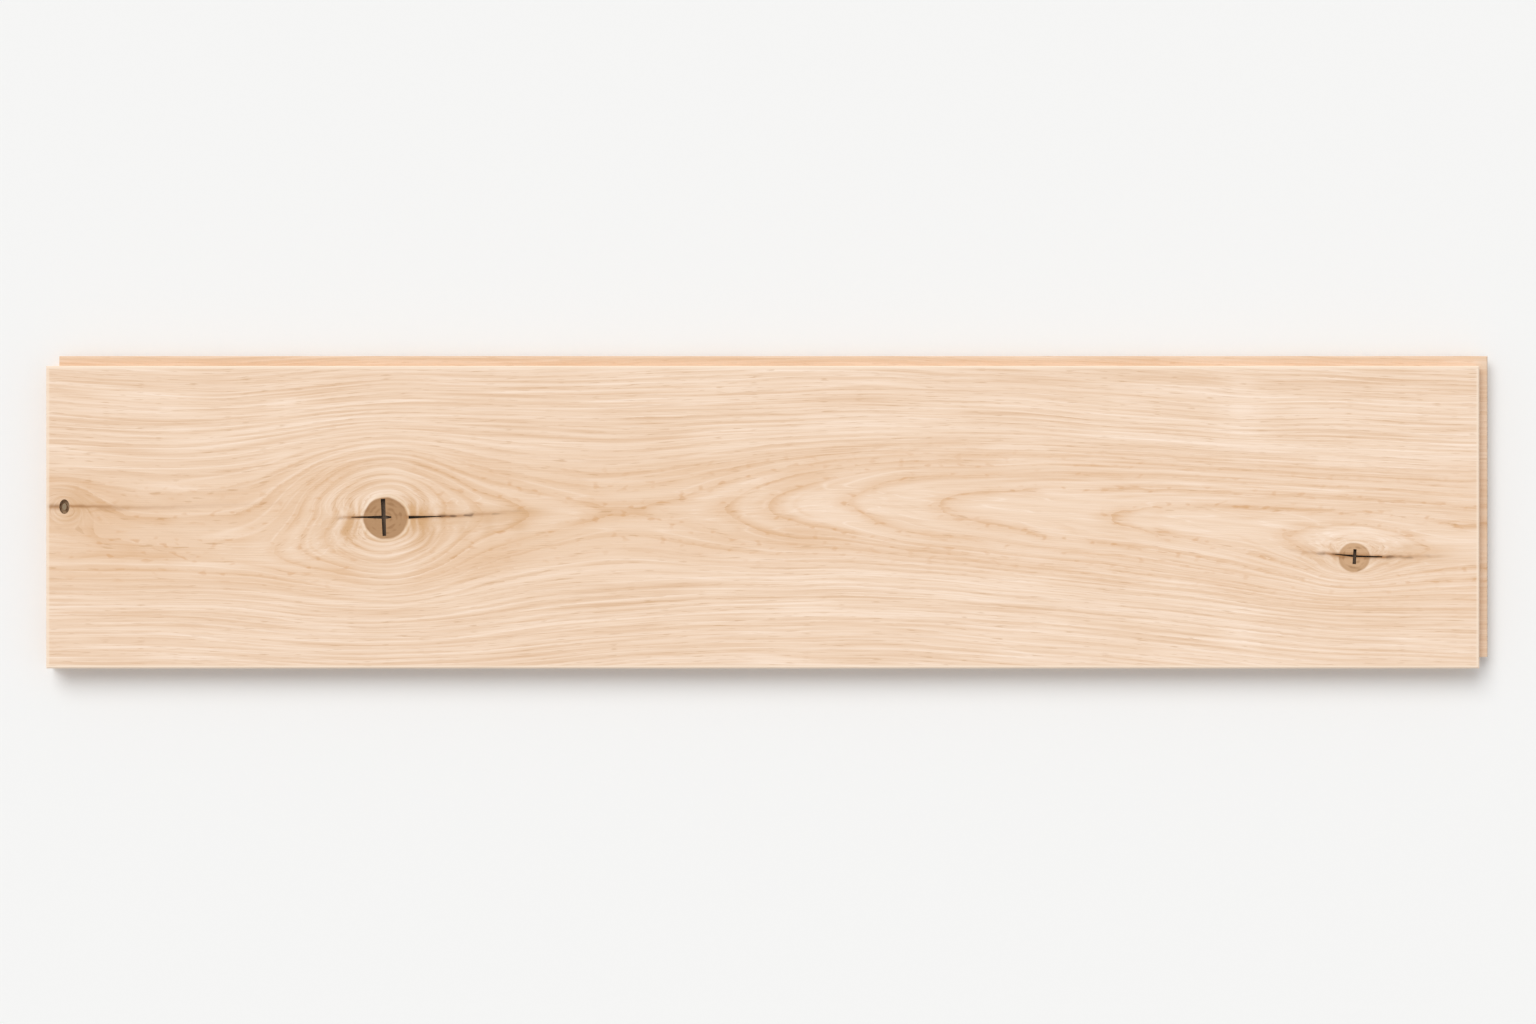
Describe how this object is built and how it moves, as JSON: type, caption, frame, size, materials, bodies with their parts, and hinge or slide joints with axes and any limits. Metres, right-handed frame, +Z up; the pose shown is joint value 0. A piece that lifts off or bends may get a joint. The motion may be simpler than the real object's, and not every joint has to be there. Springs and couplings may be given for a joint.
{
  "type": "hardwood floorboard",
  "caption": "Solid oak floorboard, unfinished and knotty, with bevelled face edges, relief kerfs below, and a tongue and groove on its long edges and ends.",
  "frame": {"origin": "on the underside, below the middle of the face that shows between the joints", "axes": "+X along the grain from the grooved end to the tongued end, +Y across the board to the tongued edge, +Z up through the face"},
  "size_m": [0.9065, 0.1965, 0.02],
  "materials": {
    "oak": "bare sanded oak, matt"
  },
  "bodies": {
    "root": {"floorboard": "oak"}
  },
  "joints": []
}
